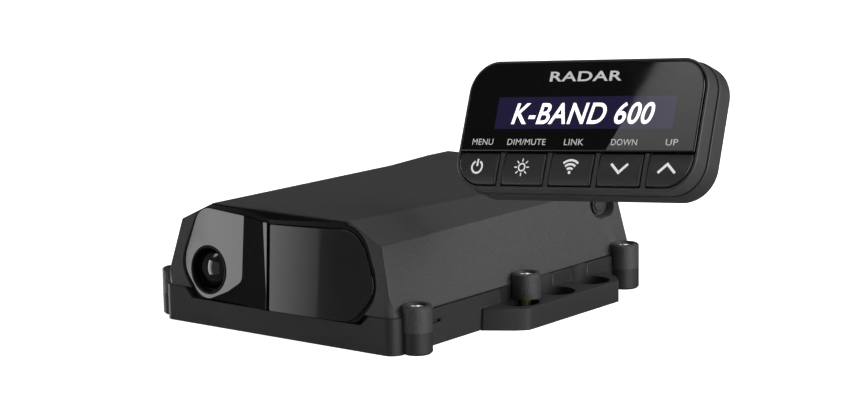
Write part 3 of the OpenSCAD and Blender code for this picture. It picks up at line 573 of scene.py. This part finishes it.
# ---------------------------------------------------------------- inside the module
# What the sealed housing holds: seals of black silicone, a die-cast horn, a stamped shield, the
# boards with their parts, brass inserts and the gland's nut. They keep their made shapes.
board_green = moulded("board_green", (0.012, 0.09, 0.04), 0.32, 700, 0.03)
plain_finishes = {
    "seal_rubber": moulded("seal_rubber", (0.015, 0.015, 0.015), 0.6, 900, 0.01),
    "gold_can": moulded("gold_can", (0.75, 0.6, 0.3), 0.25, 2500, 0.004, metal=1.0),
    "board_green": board_green,
    "horn_metal": moulded("horn_metal", (0.6, 0.61, 0.63), 0.42, 1100, 0.02, metal=1.0),
    "tinned_steel": moulded("tinned_steel", (0.62, 0.62, 0.6), 0.3, 700, 0.008, metal=1.0),
    "chip_black": moulded("chip_black", (0.02, 0.02, 0.021), 0.5, 4000, 0.008),
    "capacitor_metal": moulded("capacitor_metal", (0.72, 0.73, 0.75), 0.3, 1500, 0.006, metal=1.0),
    "header_nylon": moulded("header_nylon", (0.72, 0.7, 0.6), 0.45, 2000, 0.008),
    "screw_steel": bright_zinc,
    "insert_brass": moulded("insert_brass", (0.4, 0.27, 0.1), 0.4, 2500, 0.02, metal=1.0),
    "gland_nylon": gland_nylon,
    "oled_glass": moulded("oled_glass", (0.02, 0.016, 0.04), 0.1, 800, 0.0),
    "flex_film": moulded("flex_film", (0.32, 0.15, 0.03), 0.35, 600, 0.004),
    "led_body": moulded("led_body", (0.8, 0.78, 0.6), 0.35, 1500, 0.004),
    "speaker_black": moulded("speaker_black", (0.03, 0.03, 0.03), 0.5, 1800, 0.01),
    "patch_ceramic": moulded("patch_ceramic", (0.72, 0.66, 0.5), 0.4, 1600, 0.01),
    "screw_black": moulded("screw_black", (0.06, 0.06, 0.062), 0.35, 1800, 0.004, metal=1.0),
}
kept_nodes = [
    "cover_gasket", "window_seal", "photodiode", "laser_board", "horn_antenna", "microwave_board",
    "shield_can", "main_board", "board_chips", "board_capacitors", "board_header", "board_screws",
    "threaded_inserts", "gland_nut", "oled_panel", "oled_flex", "display_board", "keypad_mat",
    "tact_switches", "key_lights", "speaker", "wireless_board", "position_antenna", "display_chips",
    "display_screws", "data_socket"]
for node in kept_nodes:
    shown = frame["nodes"][node].data
    shown.materials.clear()
    shown.materials.append(plain_finishes[record_slot(node)])

# ---------------------------------------------------------------- display shells
# Two shells of black ABS: a front frame that holds the glass and the keys, and a slightly larger
# rear shell. They meet in a fine line, and four screws join them from behind.
# The front frame is the same black ABS as the rear shell, but its colour is painted lighter:
# painted light for the floor's bounce on its lower face.
frame_plastic = moulded("frame_plastic", (0.038, 0.038, 0.039), 0.36, 3400, 0.008)
rear_plastic = moulded("rear_plastic", (0.028, 0.028, 0.029), 0.42, 3000, 0.014)
dressed("display_frame", "front_frame", frame_plastic, "display", 0.3)
dressed("display_rear_shell", "rear_shell", rear_plastic, "display", 0.25)
pad_foam = moulded("pad_foam", (0.03, 0.03, 0.03), 0.8, 1500, 0.05)
dressed("adhesive_pad", "adhesive_pad", pad_foam, "display", 0.12)

display_at = np.array([86.5, -33.5, 58.2])
tilt, roll = math.radians(-24), math.radians(-4.8)
display_turn = np.array(Matrix.Rotation(roll, 3, "Y") @ Matrix.Rotation(tilt, 3, "X"))


def in_display(p):
    """From the display's own frame to the shared one. In its own, the front plane is at y 0 and
    the glass meets the keys at z 0."""
    return p @ display_turn.T + display_at


def plate_face(outline, profile, centre, crown=lambda z: 0.0 * z, rings=14):
    """A plate seen from the front. profile lists (inset, y) from the back of its edge to its face,
    which closes on centre. Everything but the back stands forward by crown of its height."""
    edge_rows = [np.insert(outline(inset), 1, y, axis=1) for inset, y in profile]
    last = edge_rows[-1]
    s = np.linspace(1, 0, rings)[1:, None, None]
    mid = np.array([centre[0], 0.0, centre[1]])
    face = mid + (last - mid) * s
    face[..., 1] = profile[-1][1]
    front = np.concatenate([np.stack(edge_rows[1:]), face])
    front[..., 1] -= crown(front[..., 2])
    back_middle = np.broadcast_to([centre[0], profile[0][1], centre[1]], last.shape)
    return np.concatenate([np.stack([back_middle, edge_rows[0]]), front])


# ---------------------------------------------------------------- display window
# A flat tinted window over the lit panel, printed black from behind. The panel's field glows a
# dull violet through it; everything else stays black.
glass_corners = [(38.85, 25.55), (-38.85, 25.55), (-38.85, 0.07), (38.85, 0.07)]
glass = moulded("display_glass", (0.003, 0.003, 0.0035), 0.03, 400, 0.0, ior=1.52)
nodes, links = glass.node_tree.nodes, glass.node_tree.links
place = nodes.new("ShaderNodeTexCoord")
upright = nodes.new("ShaderNodeMapping")
upright.vector_type = "TEXTURE"
upright.inputs["Location"].default_value = tuple(display_at * mm)
upright.inputs["Rotation"].default_value = (tilt, roll, 0)
axes = nodes.new("ShaderNodeSeparateXYZ")
links.new(place.outputs["Object"], upright.inputs["Vector"])
links.new(upright.outputs["Vector"], axes.inputs[0])
field_middle, field_half = (1.3, 11.1), (29.55, 4.6)
sides = []
for axis, middle_at, half in zip("XZ", field_middle, field_half):
    near = nodes.new("ShaderNodeMath")
    near.operation = "COMPARE"
    near.inputs[1].default_value = middle_at * mm
    near.inputs[2].default_value = half * mm
    links.new(axes.outputs[axis], near.inputs[0])
    sides.append(near)
field = nodes.new("ShaderNodeMath")
field.operation = "MULTIPLY"
links.new(sides[0].outputs[0], field.inputs[0])
links.new(sides[1].outputs[0], field.inputs[1])
violet = nodes.new("ShaderNodeMix")
violet.data_type = "RGBA"
violet.inputs[6].default_value = (0, 0, 0, 1)
violet.inputs[7].default_value = (0.0115, 0.0085, 0.036, 1)
links.new(field.outputs[0], violet.inputs[0])
glass_shader = nodes["Principled BSDF"]
links.new(violet.outputs[2], glass_shader.inputs["Emission Color"])
glass_shader.inputs["Emission Strength"].default_value = 1.0
skin(
    "display_window", [in_display(plate_face(
        lambda inset: rim(glass_corners, [8.15, 8.15, 0.3, 0.3], inset),
        [(0, 1.38), (0, 0.3), (0.06, 0.12), (0.2, 0.02), (0.35, 0.0), (0.45, 0.0), (0.9, 0.0)],
        (0, 12), rings=6))],
    glass, "display", ["display_window"], sharp=40)


def seen_in_glass(x, z):
    """The point of the studio that the camera sees mirrored at x, z of the glass, distance metres
    on. The ray turns back by twice its part along the glass's normal."""
    distance = 0.7
    normal = display_turn @ np.array([0.0, -1.0, 0.0])
    struck = in_display(np.array([x, 0.0, z])) * mm
    ray = struck - np.array(camera_place)
    ray /= np.linalg.norm(ray)
    return struck + distance * (ray - 2 * ray.dot(normal) * normal)


# A lit card stands there. Its slanted left edge crosses the glass from foot to top.
edge_x, edge_slope, card_width, card_foot, card_top = 10.4, 0.496, 86.0, -26.0, 52.0
glow_card(
    "glass_card",
    [seen_in_glass(edge_x + edge_slope * z + aside, z) for z, aside in (
        (card_foot, 0.0), (card_top, 0.0), (card_top, card_width), (card_foot, card_width))],
    0.6, 2.7)

# ---------------------------------------------------------------- keys
# Five soft-touch keys, bowed a little from top to foot and with rounded edges. The two outer ones
# follow the frame's round corners, and a light behind each shines through its sign.
key_plastic = moulded("key_plastic", (0.023, 0.023, 0.024), 0.34, 3400, 0.006)
key_names = ["power_key", "dimmer_key", "wireless_key", "down_key", "up_key"]
key_pitch, key_half, key_top, key_foot = 16.0, 6.9, -0.32, -9.5
key_front, key_bow = 0.5, 0.4
row_end, outer_round = 38.6, 7.8
last_key = len(key_names) - 1


def key_crown(z):
    """How far a key's front bows out at height z: a parabola, nothing at its top and foot."""
    middle, half = (key_top + key_foot) / 2, (key_top - key_foot) / 2
    return key_bow * (1 - ((z - middle) / half) ** 2)


for k, name in enumerate(key_names):
    mid_x = (k - 2) * key_pitch
    left = -row_end if k == 0 else mid_x - key_half
    right = row_end if k == last_key else mid_x + key_half
    corners = [(right, key_top), (left, key_top), (left, key_foot), (right, key_foot)]
    rounds = [0.5, 0.5, outer_round if k == 0 else 0.6, outer_round if k == last_key else 0.6]
    face = plate_face(
        lambda inset: rim(corners, rounds, inset, arc=12, run=10),
        [(0, 3.98), (0, key_front + 0.5), (0.08, key_front + 0.2), (0.22, key_front + 0.05),
         (0.45, key_front), (0.6, key_front)],
        ((left + right) / 2, (key_top + key_foot) / 2), crown=key_crown)
    skin(name + "_cap", [in_display(face)], key_plastic, name, [name], sharp=40)

# ---------------------------------------------------------------- signs on the keys
# The usual signs for on and off, brightness, radio link, down and up, in a pale print.
def lit(paint, strength):
    """The same material with a white glow, as a print with a lamp behind it has."""
    shader = paint.node_tree.nodes["Principled BSDF"]
    shader.inputs["Emission Color"].default_value = (1, 1, 1, 1)
    shader.inputs["Emission Strength"].default_value = strength
    return paint


print_white = lit(moulded("print_white", (0.7, 0.7, 0.7), 0.4, 3000, 0.0), 0.35)


def stroke(path, width, proud=0.02, depth=0.12):
    """A thin bar of that width along a path of x, z points on a key's front: four points round each
    path point, half a width to either side at the joint's bisector, and closed ends."""
    parts = 8                   # each straight run is divided, so that it can follow the crown
    fine = np.arange((len(path) - 1) * parts + 1) / parts
    path = np.stack([np.interp(fine, np.arange(len(path)), c) for c in np.transpose(path)], -1)
    step = np.diff(path, axis=0)
    step /= np.linalg.norm(step, axis=1, keepdims=True)
    way = np.concatenate([step[:1], step[:-1] + step[1:], step[-1:]])
    way /= np.linalg.norm(way, axis=1, keepdims=True)
    side = np.stack([-way[:, 1], way[:, 0]], -1)
    across_step = np.stack([-step[1:, 1], step[1:, 0]], -1)
    lean_in = np.concatenate([[1.0], (side[1:-1] * across_step).sum(1), [1.0]])
    side = side * (width / 2) / lean_in[:, None]
    box = np.stack([path + side, path - side, path - side, path + side], 1)
    y = key_front - key_crown(box[..., 1]) - proud + np.array([0, 0, depth, depth])
    rows = np.stack([box[..., 0], y, box[..., 1]], -1)
    ends = [np.broadcast_to(r.mean(0), r.shape) for r in (rows[0], rows[-1])]
    return np.concatenate([ends[:1], rows, ends[1:]])


def arc(cx, cz, r, start, end, n=28):
    """Points on a circle from one angle to another, in degrees, anticlockwise from the right."""
    a = np.radians(np.linspace(start, end, n))
    return np.stack([cx + r * np.cos(a), cz + r * np.sin(a)], -1)


sign_x = [-32.0, -16.5, -0.2, 15.9, 31.2]
sign_z = -4.5


def chevron(x, way):
    """Two strokes that meet at a point, below their ends when way is 1 and above when it is -1."""
    half_width, ends_at, point_at = 2.7, 1.2, 1.25
    return [(x - half_width, sign_z + way * ends_at), (x, sign_z - way * point_at),
            (x + half_width, sign_z + way * ends_at)]


signs = {
    "power_key": [(arc(sign_x[0], sign_z, 1.75, 118, 422), 0.55),
                  ([(sign_x[0], sign_z + 0.2), (sign_x[0], sign_z + 2.3)], 0.6)],
    "dimmer_key": [(arc(sign_x[1], sign_z, 1.05, 0, 360), 0.4)] + [
        ([(sign_x[1] + a * math.cos(t), sign_z + a * math.sin(t)) for a in (1.6, 2.5)], 0.36)
        for t in np.radians(np.arange(0, 360, 45))],
    "wireless_key": [
        (arc(sign_x[2], sign_z - 1.5, r, 48, 132), 0.62) for r in (1.35, 2.5, 3.65)] + [
        (arc(sign_x[2], sign_z - 1.35, 0.22, 0, 360, 14), 0.5)],
    "down_key": [(chevron(sign_x[3], 1), 0.75)],
    "up_key": [(chevron(sign_x[4], -1), 0.75)],
}
for name, strokes in signs.items():
    skin(name + "_sign", [in_display(stroke(path, width)) for path, width in strokes],
         print_white, name, sharp=60)

# ---------------------------------------------------------------- words on the glass
# Plain words: what each key does, what the unit is, and a reading on the lit field.
readout_white = lit(moulded("readout_white", (0.8, 0.8, 0.8), 0.4, 3000, 0.0), 1.0)
word_grey = lit(moulded("word_grey", (0.55, 0.55, 0.55), 0.4, 3000, 0.0), 0.2)


def words(name, text, paint, x, z, weight=0.0, slant=0.0):
    """Letters that fill the given spans of x and z, as a mesh just in front of the glass."""
    curve = bpy.data.curves.new(name, "FONT")
    curve.body = text
    curve.offset = weight
    curve.space_character = 1.06
    curve.shear = slant
    curve.extrude = 0.01
    typed = bpy.data.objects.new(name + "_typed", curve)
    bpy.context.scene.collection.objects.link(typed)
    bpy.context.view_layer.update()
    depsgraph = bpy.context.evaluated_depsgraph_get()
    mesh = bpy.data.meshes.new_from_object(typed.evaluated_get(depsgraph))
    bpy.data.objects.remove(typed)
    mesh.name = name
    co = np.zeros(len(mesh.vertices) * 3)
    mesh.vertices.foreach_get("co", co)
    co = co.reshape(-1, 3)
    low, high = co.min(0), co.max(0)
    u = (co - low) / (high - low)
    sunk, thickness = 0.03, 0.05
    flat = np.stack([
        x[0] + u[:, 0] * (x[1] - x[0]), sunk - thickness * u[:, 2],
        z[0] + u[:, 1] * (z[1] - z[0])], -1)
    mesh.vertices.foreach_set("co", (in_display(flat) * mm).ravel())
    mesh.materials.clear()
    mesh.materials.append(paint)
    piece = bpy.data.objects.new(name, mesh)
    bpy.context.scene.collection.objects.link(piece)
    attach(piece, "display")


words("readout", "K-BAND 600", readout_white, (-22.7, 24.4), (7.8, 14.0), weight=0.014, slant=0.22)
words("unit_word", "RADAR", word_grey, (-12.0, 12.0), (20.1, 22.95), weight=0.018)
for name, text, mid_x, half in (
        ("menu_word", "MENU", -31.4, 3.6), ("dim_word", "DIM/MUTE", -16.3, 6.5),
        ("link_word", "LINK", -0.3, 3.2), ("down_word", "DOWN", 16.2, 4.2),
        ("up_word", "UP", 31.5, 1.9)):
    words(name, text, word_grey, (mid_x - half, mid_x + half), (1.85, 3.6))

# ---------------------------------------------------------------- last update
bpy.context.view_layer.update()
